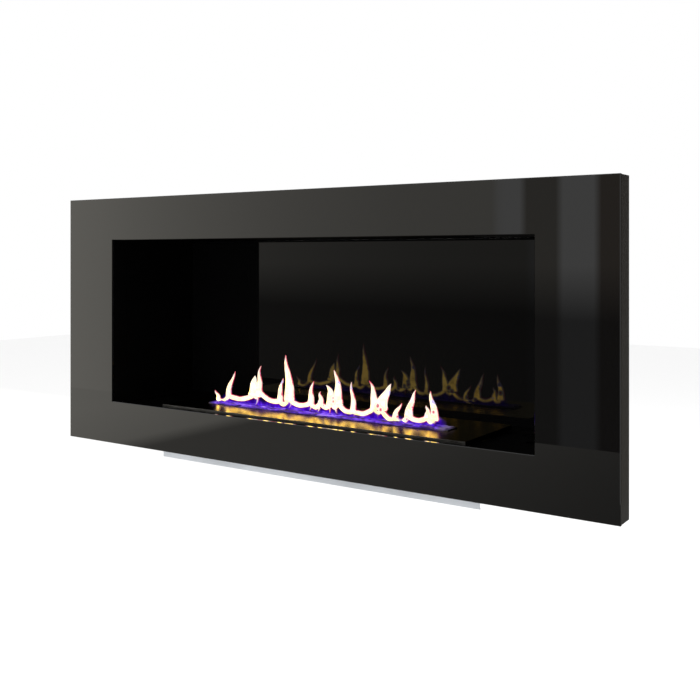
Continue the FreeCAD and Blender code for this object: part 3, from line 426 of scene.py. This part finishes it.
def spine_run(samples, i):
    return (samples[min(i + 1, len(samples) - 1)].xy - samples[max(i - 1, 0)].xy).normalized()


def stroke_tube(samples):
    """Closed tube with a flat elliptical section along the samples, domed at both ends."""
    samples = round_cap(samples[1], samples[0])[::-1] + samples + round_cap(samples[-2], samples[-1])
    verts, faces = [], []
    for i, (x, z, half_width) in enumerate(samples):
        run = spine_run(samples, i)
        sway = SWAY * noise.noise(Vector((x * 12, z * 14, SEED)))
        half_depth = half_width * FLATNESS + THIN_DEPTH
        for k in range(RING):
            angle = 2 * math.pi * k / RING
            wide = half_width * math.cos(angle)
            verts.append((x + run.y * wide, sway + half_depth * math.sin(angle), z - run.x * wide))
    for i in range(len(samples) - 1):
        for k in range(RING):
            n = (k + 1) % RING
            faces.append((i * RING + k, i * RING + n, (i + 1) * RING + n, (i + 1) * RING + k))
    faces.append(tuple(range(RING)))
    last = (len(samples) - 1) * RING
    faces.append(tuple(last + k for k in reversed(range(RING))))
    return verts, faces


def join_tubes(name, spines):
    verts, faces = [], []
    for samples in spines:
        v, f = stroke_tube(samples)
        faces += [tuple(len(verts) + i for i in face) for face in f]
        verts += v
    return new_object(name, mesh_from(name, verts, faces))


def skin(obj, voxel, smooth):
    """Union of all closed parts of obj by voxel remesh, then smoothed, applied."""
    remesh = obj.modifiers.new("skin", "REMESH")
    remesh.mode = "VOXEL"
    remesh.voxel_size = voxel
    relax = obj.modifiers.new("relax", "SMOOTH")
    relax.factor = 0.5
    relax.iterations = smooth
    graph = bpy.context.evaluated_depsgraph_get()
    mesh = bpy.data.meshes.new_from_object(obj.evaluated_get(graph))
    obj.modifiers.clear()
    obj.data = mesh
    shade_smooth(obj)


def store_depth(obj, spines):
    """Stores on each vertex its depth inside the outline, in millimetres, and how lilac it is."""
    count = len(obj.data.vertices)
    places = np.empty(count * 3)
    obj.data.vertices.foreach_get("co", places)
    places = places.reshape(-1, 3)
    inside = np.zeros(count)
    for samples in spines:
        for i, (x, z, half_width) in enumerate(samples):
            run = spine_run(samples, i)
            dx, dz = places[:, 0] - x, places[:, 2] - z
            across = half_width - np.abs(run.y * dx - run.x * dz)
            along = CAP - np.abs(run.x * dx + run.y * dz)
            inside = np.maximum(inside, np.minimum(across, along))
    for x, z, depth in SPOTS:
        away = np.hypot(places[:, 0] - x * MM, places[:, 2] - z * MM)
        inside = np.minimum(inside, depth * MM + SPOT_SPREAD * away)
    lilac = np.zeros(count)
    for x, z, radius in LILAC:
        away = np.hypot(places[:, 0] - x * MM, places[:, 2] - z * MM)
        lilac = np.maximum(lilac, 1 - away / (radius * MM))
    for name, values in (("inside", inside / MM), ("lilac", lilac)):
        attribute = obj.data.attributes.new(name, "FLOAT", "POINT")
        attribute.data.foreach_set("value", values.astype(np.float32))


def flame_material():
    """White-hot core, pink and red towards the outline, wider along the lower edges."""
    s = Surface("flame_light", (0.0, 0.0, 0.0), 1.0, specular=0.0)
    s.place = s.node("ShaderNodeTexCoord")
    normal = s.node("ShaderNodeSeparateXYZ")
    s.links.new(s.place.outputs["Normal"], normal.inputs["Vector"])
    inside = s.node("ShaderNodeAttribute", attribute_name="inside")
    upward = s.span(normal.outputs["Z"], -1.3, 0.1, -0.6, -0.05)
    ragged = s.span(s.noise(75.0, 2.0), -0.8, 0.8, 0.25, 0.75)
    depth = s.add(s.add(inside.outputs["Fac"], upward), ragged)
    edge = s.ramp(s.span(depth, 0.0, 1.0, 0.0, 2.6), [
        (0.0, (0.16, 0.002, 0.03)), (0.2, (0.62, 0.02, 0.1)), (0.38, (1.0, 0.17, 0.24)),
        (0.56, (1.0, 0.55, 0.48)), (0.75, (1.1, 0.98, 0.88))])
    warm = s.ramp(s.noise(26.0, 3.0, stretch=(1.0, 1.0, 0.5)), [
        (0.32, (1.0, 0.62, 0.12)), (0.45, (1.0, 0.66, 0.15)), (0.65, (1.0, 0.68, 0.17))])
    core = s.blend(s.span(depth, 0.0, 1.0, 2.4, 3.4), edge, warm)
    lilac = s.node("ShaderNodeAttribute", attribute_name="lilac")
    patchy = s.span(s.noise(60.0, 2.0), -0.4, 0.4, 0.3, 0.7)
    cool = s.span(s.add(lilac.outputs["Fac"], patchy), 0.0, 1.0, 0.3, 0.6)
    s.links.new(s.blend(cool, core, (0.72, 0.63, 0.98)), s.shader.inputs["Emission Color"])
    bright = s.span(depth, 1.0, 7.6, 2.6, 4.6)
    s.links.new(s.span(cool, bright, 1.0, 0.0, 1.0), s.shader.inputs["Emission Strength"])
    s.links.new(s.span(inside.outputs["Fac"], 0.0, 1.0, -0.1, 0.7), s.shader.inputs["Alpha"])
    return s.mat


def on_deck(obj, rise=0.0):
    obj.data.transform(Matrix.Translation((0, SLOT_Y, DECK_Z + rise)))
    return obj


def flames():
    spines = [spine_samples(stroke) for stroke in STROKES]
    obj = join_tubes("flames", spines)
    skin(obj, VOXEL, 3)
    store_depth(obj, spines)
    obj.data.materials.append(flame_material())
    return on_deck(obj)


def sheet(name, columns, rows, place):
    """Grid mesh; place(u, v) gives the point for u and v from 0 to 1."""
    verts = [place(i / columns, j / rows) for j in range(rows + 1) for i in range(columns + 1)]
    faces = []
    for j in range(rows):
        for i in range(columns):
            a = j * (columns + 1) + i
            faces.append((a, a + 1, a + columns + 2, a + columns + 1))
    obj = new_object(name, mesh_from(name, verts, faces))
    shade_smooth(obj)
    return obj


BED_HALF_L = 274 * MM
BED_FRONT = -24.5 * MM            # from the middle of the slot
BED_BACK = 16.0 * MM


def mist_bed():
    """Lit mist that wells out of the slot and lies over the rim."""
    def place(u, v):
        x, y = (2 * u - 1) * BED_HALF_L, BED_FRONT + v * (BED_BACK - BED_FRONT)
        swell = 1 - (2 * v - 1) ** 4
        spill = max(0.0, 0.14 - v) / 0.14
        lump = noise.noise(Vector((x * 55, y * 90, SEED))) + 0.5 * noise.noise(Vector((x * 150, y * 200, 3)))
        return x, y, (0.5 + 2.4 * swell * (0.7 + lump) - 1.9 * spill ** 2) * MM

    obj = sheet("mist_bed", 420, 22, place)
    s = Surface("mist_bed", (0.01, 0.004, 0.03), 0.6, specular=0.1)
    streak = s.noise(85.0, 4.0, stretch=(0.5, 1.0, 1.0), distortion=1.0)
    glow = s.ramp(streak, [
        (0.33, (0.006, 0.001, 0.03)), (0.43, (0.045, 0.008, 0.3)), (0.53, (0.13, 0.035, 0.75)),
        (0.63, (0.24, 0.1, 1.0)), (0.76, (0.6, 0.4, 1.0))])
    at_end = s.span(s.axis(0), 0.0, 1.0, 248 * MM, 262 * MM)
    s.links.new(s.blend(at_end, glow, (0.13, 0.1, 0.2)), s.shader.inputs["Emission Color"])
    s.shader.inputs["Emission Strength"].default_value = 1.0
    front = s.span(s.axis(1), 0.0, 1.0, SLOT_Y + BED_FRONT, SLOT_Y + BED_FRONT + 4 * MM)
    back = s.span(s.axis(1), 1.0, 0.0, SLOT_Y + BED_BACK - 5 * MM, SLOT_Y + BED_BACK)
    along = s.multiply(s.span(s.axis(0), 0.0, 1.0, -268 * MM, -252 * MM),
                       s.span(s.axis(0), 1.0, 0.0, BED_HALF_L - 5 * MM, BED_HALF_L))
    s.links.new(s.multiply(s.multiply(front, back), along), s.shader.inputs["Alpha"])
    obj.data.materials.append(s.mat)
    return on_deck(obj, rim_high.z - DECK_Z)


# Where the violet light stands higher, in the gaps under the flames: (x, height), millimetres.
PLUMES = ((-241, 20), (-160, 22), (-122, 15), (-76, 28), (-35, 17), (72, 17), (121, 30), (243, 20))
PLUME_HALF_W = 9.0
CURTAIN_H = 13                     # between the plumes
CURTAIN_COLUMNS, CURTAIN_ROWS = 300, 6


def mist_curtains():
    """Two thin, patchy curtains of violet light that the flames stand in."""
    def tall(x):
        return CURTAIN_H + max(
            (height - CURTAIN_H) * math.exp(-((x / MM - middle) / PLUME_HALF_W) ** 2)
            for middle, height in PLUMES)

    def curtain(offset, seed):
        def place(u, v):
            x = (2 * u - 1) * BED_HALF_L
            y = (offset + 2.5 * noise.noise(Vector((x * 30, seed, 0)))) * MM
            return x, y, v * tall(x) * MM
        return place

    s = Surface("mist_curtain", (0.0, 0.0, 0.0), 1.0, specular=0.0)
    glow = s.ramp(s.noise(48.0, 3.0, stretch=(1.0, 1.0, 0.8), distortion=0.6), [
        (0.35, (0.01, 0.001, 0.09)), (0.52, (0.05, 0.003, 0.5)),
        (0.64, (0.11, 0.01, 1.0)), (0.75, (0.5, 0.2, 1.0))])
    s.links.new(glow, s.shader.inputs["Emission Color"])
    s.shader.inputs["Emission Strength"].default_value = 1.0
    rise = s.node("ShaderNodeAttribute", attribute_name="rise")
    height = s.span(rise.outputs["Fac"], 1.0, 0.0, 0.35, 1.0)
    patch = s.span(s.noise(40.0, 2.0, stretch=(1.0, 1.0, 0.3)), 0.25, 1.0, 0.38, 0.58)
    along = s.span(s.far_from(0, 0.0), 1.0, 0.0, BED_HALF_L - 34 * MM, BED_HALF_L - 14 * MM)
    s.links.new(s.multiply(s.multiply(height, patch), along), s.shader.inputs["Alpha"])
    made = []
    for name, offset, seed in (("mist_curtain_front", -6.0, 11), ("mist_curtain_back", 7.0, 23)):
        obj = sheet(name, CURTAIN_COLUMNS, CURTAIN_ROWS, curtain(offset, seed))
        rises = obj.data.attributes.new("rise", "FLOAT", "POINT")
        for i, value in enumerate(rises.data):
            value.value = i // (CURTAIN_COLUMNS + 1) / CURTAIN_ROWS
        obj.data.materials.append(s.mat)
        made.append(on_deck(obj))
    return made


# --- casing details -------------------------------------------------------------------------------------
def rivet_mesh(bm, at, out, radius):
    """Low domed rivet head at a point, pointing along out."""
    turn = out.to_track_quat("Z", "Y").to_matrix().to_4x4()
    made = bmesh.ops.create_uvsphere(bm, u_segments=16, v_segments=8, radius=radius)
    for v in made["verts"]:
        v.co.z = max(v.co.z, 0.0) * 0.55
        v.co = turn @ v.co + at
    bmesh.ops.remove_doubles(bm, verts=made["verts"], dist=radius * 0.02)


def casing_rivets():
    """Rivets that join the casing sheets, on the top, the base and both sides."""
    low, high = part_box("back_panel")
    side_low, side_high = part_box("side_panel_right")
    bm = bmesh.new()
    radius = 2.6 * MM
    for z, out in ((high.z, Vector((0, 0, 1))), (low.z, Vector((0, 0, -1)))):
        for y in (side_low.y + 12 * MM, side_high.y - 10 * MM):
            for i in range(10):
                x = low.x + 30 * MM + (high.x - low.x - 60 * MM) * i / 9
                rivet_mesh(bm, Vector((x, y, z)), out, radius)
    for x, out in ((high.x, Vector((1, 0, 0))), (low.x, Vector((-1, 0, 0)))):
        for y in (side_low.y + 12 * MM, side_high.y - 10 * MM):
            for i in range(5):
                z = low.z + 30 * MM + (high.z - low.z - 60 * MM) * i / 4
                rivet_mesh(bm, Vector((x, y, z)), out, radius)
    mesh = bpy.data.meshes.new("casing_rivets")
    bm.to_mesh(mesh)
    bm.free()
    obj = new_object("casing_rivets", mesh)
    shade_smooth(obj)
    obj.data.materials.append(machined_metal("rivet_metal", (0.55, 0.55, 0.56), 0.3))
    return obj


# --- studio ----------------------------------------------------------------------------------------------
def studio_camera():
    data = bpy.data.cameras.new("camera")
    data.lens = CAMERA_LENS
    data.sensor_width = 36.0
    data.shift_x, data.shift_y = CAMERA_SHIFT
    camera = bpy.data.objects.new("camera", data)
    camera.location = CAMERA_AT
    camera.rotation_euler = (math.radians(90), 0, math.radians(CAMERA_TURN))
    bpy.context.scene.collection.objects.link(camera)
    bpy.context.scene.camera = camera


def studio_world():
    world = bpy.data.worlds.new("studio")
    world.use_nodes = True
    background = next(n for n in world.node_tree.nodes if n.type == "BACKGROUND")
    background.inputs["Color"].default_value = (1.0, 1.0, 1.0, 1.0)
    background.inputs["Strength"].default_value = 1.0
    bpy.context.scene.world = world


def area_light(name, at, aim, size, power):
    data = bpy.data.lights.new(name, "AREA")
    data.shape = "RECTANGLE"
    data.size, data.size_y = size
    data.energy = power
    light = bpy.data.objects.new(name, data)
    light.location = at
    light.rotation_euler = (Vector(aim) - Vector(at)).to_track_quat("-Z", "Y").to_euler()
    light.visible_glossy = False
    bpy.context.scene.collection.objects.link(light)


def plane_mesh(name, corners):
    return new_object(name, mesh_from(name, corners, [(0, 1, 2, 3)]))


def studio_floor():
    reach = 9.0
    corners = [(x * reach, y * reach, FLOOR_Z) for x, y in ((-1, -1), (1, -1), (1, 1), (-1, 1))]
    floor = plane_mesh("floor", corners)
    s = Surface("pale_floor", (0.93, 0.93, 0.93), 0.9, specular=0.1)
    s.rough(s.span(s.noise(3.0), 0.85, 0.95))
    floor.data.materials.append(s.mat)
    floor.visible_glossy = False


def tone_card(name, corners, stops, x0, x1, strength, dim=None):
    """Card that only reflections see: a plain tone that changes along X, and is dimmer low down."""
    card = plane_mesh(name, corners)
    s = Surface(name, (0.0, 0.0, 0.0), 1.0, specular=0.0)
    tone = s.ramp(s.span(s.axis(0), 0.0, 1.0, x0, x1), stops)
    if dim:
        floor_z, clear_z, left_x, right_x, least = dim
        low = s.span(s.axis(2), 1.0, 0.0, floor_z, clear_z)
        right = s.span(s.axis(0), 0.0, 1.0, left_x, right_x)
        tone = s.blend(s.multiply(low, right), tone, s.blend(least, (0.0, 0.0, 0.0), tone))
    s.links.new(tone, s.shader.inputs["Emission Color"])
    s.shader.inputs["Emission Strength"].default_value = strength
    card.data.materials.append(s.mat)
    card.visible_camera = False
    card.visible_diffuse = False
    card.visible_shadow = False
    card.visible_transmission = False
    return card


def studio_cards():
    """What the black glass mirrors: a plain wall with two paler uprights, and a darker floor."""
    x0, x1 = -8.0, 3.0
    top = 2.6
    warm = (1.0, 0.965, 0.87)
    pale = (0.62, 0.62, 0.61)
    dark = (0.262, 0.245, 0.212)
    brown = (0.205, 0.172, 0.14)
    edge = 0.002

    def at(x):
        return (x - x0) / (x1 - x0)

    stops = [(at(x), scaled(warm, tone)) for x, tone in (
        (-5.2, 1.0), (-4.63, 0.97), (-3.58, 0.77), (-2.68, 0.615), (-1.91, 0.517), (-1.37, 0.5))]
    for x, colour in ((-1.255, pale), (-1.122, dark), (-0.905, pale), (-0.684, brown)):
        stops += [(at(x - edge), stops[-1][1]), (at(x + edge), colour)]
    wall = [(x, STUDIO_WALL_Y, z) for x, z in ((x0, FLOOR_Z), (x1, FLOOR_Z), (x1, top), (x0, top))]
    tone_card("reflected_wall", wall, stops, x0, x1, 1.62, dim=(-0.22, 0.08, -4.3, -3.4, 0.22))
    floor_stops = [(at(x), scaled(warm, tone)) for x, tone in (
        (-4.0, 0.9), (-3.3, 0.82), (-3.0, 0.76), (-2.75, 0.3),
        (-1.6, 0.3), (-1.0, 0.23), (-0.3, 0.15), (0.2, 0.1))]
    z = FLOOR_Z + 0.002
    floor = [(x0, STUDIO_WALL_Y, z), (x1, STUDIO_WALL_Y, z), (x1, 3.0, z), (x0, 3.0, z)]
    tone_card("reflected_floor", floor, floor_stops, x0, x1, 1.62)
    side = [(0.9, 2.6, FLOOR_Z), (5.0, 1.2, FLOOR_Z), (5.0, 1.2, top), (0.9, 2.6, top)]
    side_tone = (0.132, 0.122, 0.106)
    tone_card("reflected_side", side, [(0.0, side_tone), (1.0, side_tone)], x0, x1, 1.0,
              dim=(0.2, -0.6, -6.0, -5.0, 0.62))


# --- materials on the CAD nodes ---------------------------------------------------------------------------
def material_table():
    black_steel = powder_coat("black_steel", (0.0009, 0.0009, 0.0009), 0.5, 0.05)
    zinc = galvanised("zinc_sheet")
    black_plastic = moulded_plastic("black_plastic", (0.005, 0.005, 0.005), 0.55, 0.08)
    mist_plastic = moulded_plastic("mist_plastic", (0.03, 0.03, 0.033))
    key_plastic = moulded_plastic("key_plastic", (0.008, 0.008, 0.008), 0.3, 0.08)
    soft_rubber = rubber("black_rubber", (0.015, 0.015, 0.015))
    zinc_screw = machined_metal("zinc_screw", (0.6, 0.6, 0.62))
    brass = machined_metal("brass", (0.62, 0.46, 0.2))
    return {
        "front_glass": black_glass("front_glass_black", 0.5),
        "back_mirror": black_glass("back_glass_black", 0.145),
        "front_frame": gloss_paint("frame_paint", (0.012, 0.0115, 0.011)),
        "window_liner": black_steel, "inner_wall_left": black_steel, "inner_wall_right": black_steel,
        "ceiling_panel": black_steel, "floor_plate": black_steel, "fill_hatch": black_steel,
        "flame_deck": deck_coat("deck_coat"),
        "deck_front_trim": brushed_steel("trim_steel", (0.2, 0.2, 0.2)),
        "slot_rim": brushed_steel("rim_steel", (0.16, 0.15, 0.18), 0.3),
        "wall_flange": zinc, "fascia_strips": zinc, "side_panel_left": zinc, "side_panel_right": zinc,
        "back_panel": zinc, "top_cover": zinc, "base_pan": zinc, "panel_ribs": zinc,
        "blower_scroll": zinc, "blower_end_plates": zinc,
        "lower_support_rail": gloss_paint("rail_paint", (0.66, 0.69, 0.73), 0.35),
        "bonding_tape": soft_rubber, "mirror_pads": soft_rubber, "deck_feet": soft_rubber,
        "casing_screws": zinc_screw, "locating_pins": zinc_screw,
        "panel_magnets": machined_metal("nickel", (0.66, 0.65, 0.62), 0.18),
        "pin_bushes": moulded_plastic("nylon", (0.62, 0.62, 0.58)),
        "float_stem": moulded_plastic("nylon_stem", (0.6, 0.6, 0.56)),
        "level_float": moulded_plastic("float_plastic", (0.7, 0.2, 0.04)),
        "mist_chamber": mist_plastic, "mist_nozzle": mist_plastic, "transducer_bar": mist_plastic,
        "fan_shrouds": mist_plastic, "mist_fan_frames": black_plastic,
        "mist_fan_rotor_left": black_plastic, "mist_fan_rotor_right": black_plastic,
        "nebuliser_discs": brass, "inlet_valve": brass,
        "led_boards": led_strip("led_board"), "lens_strips": clear_plastic("lens", (0.8, 0.8, 0.95), 0.3, 0.5),
        "water_tank": clear_plastic("tank_plastic", (0.72, 0.76, 0.8), 0.35, 0.75),
        "feed_pipe": clear_plastic("silicone", (0.7, 0.7, 0.68), 0.45, 0.8),
        "power_supply": machined_metal("psu_case", (0.62, 0.63, 0.65), 0.36),
        "control_board": circuit_board("circuit_board"),
        "cable_gland": moulded_plastic("gland_plastic", (0.015, 0.015, 0.015), 0.42),
        "heater_cable": rubber("cable_sheath", (0.4, 0.4, 0.4)),
        "rotor_bearings": machined_metal("sintered_bronze", (0.42, 0.26, 0.12), 0.45),
        "blower_rotor": powder_coat("wheel_paint", (0.04, 0.04, 0.04)),
        "blower_motor": powder_coat("motor_paint", (0.12, 0.12, 0.13)),
        "heating_element": machined_metal("fin_aluminium", (0.68, 0.68, 0.69), 0.35),
        "outlet_frame": black_plastic, "louvre": black_plastic, "control_bezel": black_plastic,
        "rocker_key": key_plastic, "flame_button": key_plastic, "heat_button": key_plastic,
        "light_button": key_plastic,
    }


def dress_cad():
    table = material_table()
    for name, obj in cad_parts.items():
        obj.data.materials.clear()
        obj.data.materials.append(table[name])


dress_cad()
for piece in (flames(), mist_bed(), *mist_curtains()):
    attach(piece, "deck")
rivets = casing_rivets()
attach(rivets, "firebox")

studio_camera()
studio_world()
studio_floor()
studio_cards()
area_light("key_light", (-1.6, -2.6, 2.6), (0, 0, 0), (2.4, 1.6), 60)
area_light("back_light", (1.8, 2.6, 2.2), (0, 0.1, 0), (2.4, 1.6), 40)
bpy.context.scene.view_settings.view_transform = "Standard"
